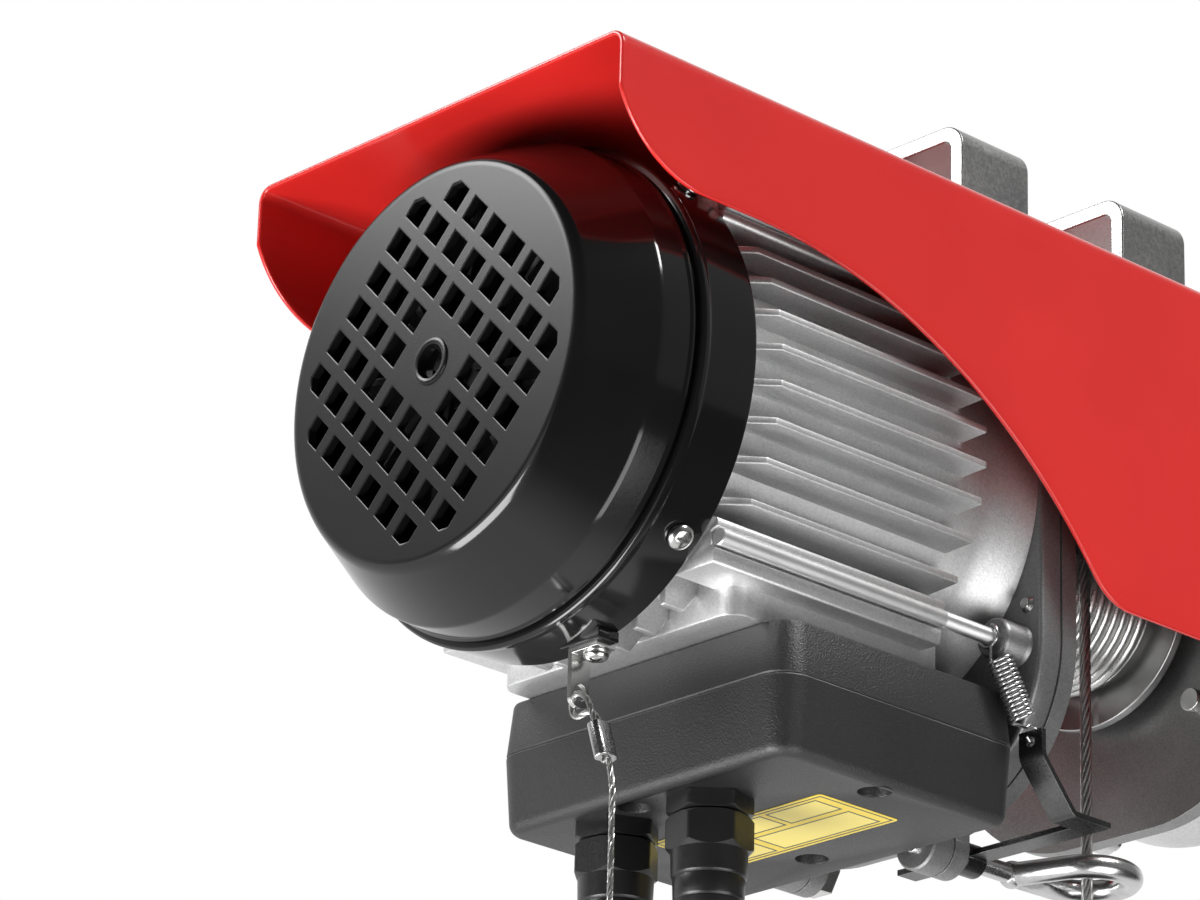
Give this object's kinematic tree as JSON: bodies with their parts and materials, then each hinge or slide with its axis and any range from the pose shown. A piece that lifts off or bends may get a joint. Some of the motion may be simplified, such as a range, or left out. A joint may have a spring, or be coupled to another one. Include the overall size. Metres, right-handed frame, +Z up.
{
  "type": "electric hoist",
  "caption": "Small wire-rope hoist: fan-cooled finned motor, gearbox and rope drum under a bent sheet hood, hung from a beam by straps, with a terminal box, limit lever and latched hook.",
  "frame": {"origin": "middle of the beam seat, midway between the two hanger straps", "axes": "+X from the fan end to the gear end along the motor axis, -Y the side nearest in the picture, +Z up"},
  "size_m": [0.344, 0.155, 0.3605],
  "materials": {
    "gloss_black_plastic": "moulded, glossy",
    "zinc_steel": "zinc plated",
    "cast_aluminium": "die cast with silver lacquer",
    "bearing_steel": "ground",
    "core_steel": "stacked sheet and plain steel",
    "copper_wire": "varnished",
    "red_paint": "glossy enamel on sheet steel",
    "strap_steel": "zinc plated flat bar",
    "textured_black_plastic": "fine texture",
    "yellow_label": "printed film",
    "black_nylon": "satin",
    "seal_rubber": "matte",
    "capacitor_can": "plain",
    "terminal_plastic": "plain",
    "spring_steel": "zinc plated wire",
    "rope_steel": "twisted wire strands",
    "ferrule_aluminium": "pressed",
    "bright_steel": "turned and polished",
    "fan_plastic": "moulded",
    "drum_steel": "turned",
    "stop_rubber": "matte",
    "hook_steel": "black lacquer"
  },
  "bodies": {
    "frame": {"fan_cover": "gloss_black_plastic", "cover_screws": "zinc_steel", "end_shield": "cast_aluminium", "shaft_bearings": "bearing_steel", "motor_housing": "cast_aluminium", "stator_core": "core_steel", "stator_windings": "copper_wire", "brake_magnet": "core_steel", "motor_flange": "cast_aluminium", "tie_rods": "zinc_steel", "drum_frame": "cast_aluminium", "anchor_bolt": "zinc_steel", "drum_bearings": "bearing_steel", "gearbox_case": "cast_aluminium", "gearbox_cover": "cast_aluminium", "counter_bearings": "bearing_steel", "gearbox_screws": "zinc_steel", "frame_screws": "zinc_steel", "rain_hood": "red_paint", "hanger_strap_motor": "strap_steel", "hanger_strap_gear": "strap_steel", "hanger_bolts": "zinc_steel", "box_base": "textured_black_plastic", "box_cover": "textured_black_plastic", "box_screws": "zinc_steel", "box_label": "yellow_label", "gland_bodies": "black_nylon", "gland_lock_nuts": "black_nylon", "gland_dome_nuts": "black_nylon", "gland_seals": "seal_rubber", "capacitor": "capacitor_can", "terminal_block": "terminal_plastic", "limit_spring": "spring_steel", "limit_switch": "textured_black_plastic", "wire_tab": "zinc_steel", "strain_wire": "rope_steel", "wire_ferrules": "ferrule_aluminium"},
    "rotor": {"motor_shaft": "bright_steel", "rotor_core": "core_steel", "cooling_fan": "fan_plastic", "brake_disc": "core_steel", "motor_pinion": "bright_steel"},
    "brake": {"brake_armature": "core_steel"},
    "counter": {"countershaft": "bright_steel", "counter_gear": "bright_steel"},
    "drum": {"rope_drum": "drum_steel", "drum_gear": "bright_steel", "rope_winding": "rope_steel", "rope_clamp": "zinc_steel"},
    "hook_block": {"rope_fall": "rope_steel", "rope_stop": "stop_rubber", "hook_head": "hook_steel"},
    "hook": {"hook": "hook_steel", "hook_nut": "zinc_steel", "latch_pin": "zinc_steel"},
    "latch": {"hook_latch": "zinc_steel"},
    "limit_lever": {"limit_shaft": "bright_steel", "rope_eye": "bright_steel", "limit_arm": "zinc_steel"},
    "plunger": {"switch_plunger": "terminal_plastic"}
  },
  "joints": [
    {"name": "rotor_spin", "type": "hinge", "parent": "frame", "child": "rotor", "pos_m": [0, 0, -0.1245], "axis": [1, 0, 0], "range_deg": [0, 164160]},
    {"name": "drum_turn", "type": "hinge", "parent": "frame", "child": "drum", "pos_m": [0, 0, -0.1245], "axis": [1, 0, 0], "range_deg": [0, 8640]},
    {"name": "counter_spin", "type": "hinge", "parent": "frame", "child": "counter", "pos_m": [0, 0, -0.0885], "axis": [1, 0, 0], "range_deg": [-32832, 0]},
    {"name": "hook_lower", "type": "slide", "parent": "frame", "child": "hook_block", "axis": [0, 0, -1], "range_m": [0, 4.245], "deforming": ["rope_fall"]},
    {"name": "hook_swivel", "type": "hinge", "parent": "hook_block", "child": "hook", "pos_m": [0, -0.0305, -0.27], "axis": [0, 0, 1], "continuous": true},
    {"name": "latch_swing", "type": "hinge", "parent": "hook", "child": "latch", "pos_m": [0.0095, -0.0305, -0.2965], "axis": [0, 1, 0], "range_deg": [0, 28], "stiffness_Nm_per_rad": 0.02, "springref_deg": -11.46},
    {"name": "limit_lever_tilt", "type": "hinge", "parent": "frame", "child": "limit_lever", "pos_m": [-0.02, -0.017, -0.226], "axis": [1, 0, 0], "range_deg": [-5, 5], "stiffness_Nm_per_rad": 1, "deforming": ["limit_spring"]},
    {"name": "plunger_press", "type": "slide", "parent": "frame", "child": "plunger", "axis": [0, 0, 1], "range_m": [-0.00132, 0.00132]},
    {"name": "brake_release", "type": "slide", "parent": "frame", "child": "brake", "axis": [1, 0, 0], "range_m": [0, 0.0006], "stiffness_N_per_m": 5000, "springref_m": -0.002}
  ],
  "couplings": [
    {"joint": "drum_turn", "follows": "rotor_spin", "ratio": 0.052632},
    {"joint": "counter_spin", "follows": "rotor_spin", "ratio": -0.2},
    {"joint": "hook_lower", "follows": "rotor_spin", "m_per_rad": 0.0014815},
    {"joint": "plunger_press", "follows": "limit_lever_tilt", "m_per_rad": 0.015}
  ]
}
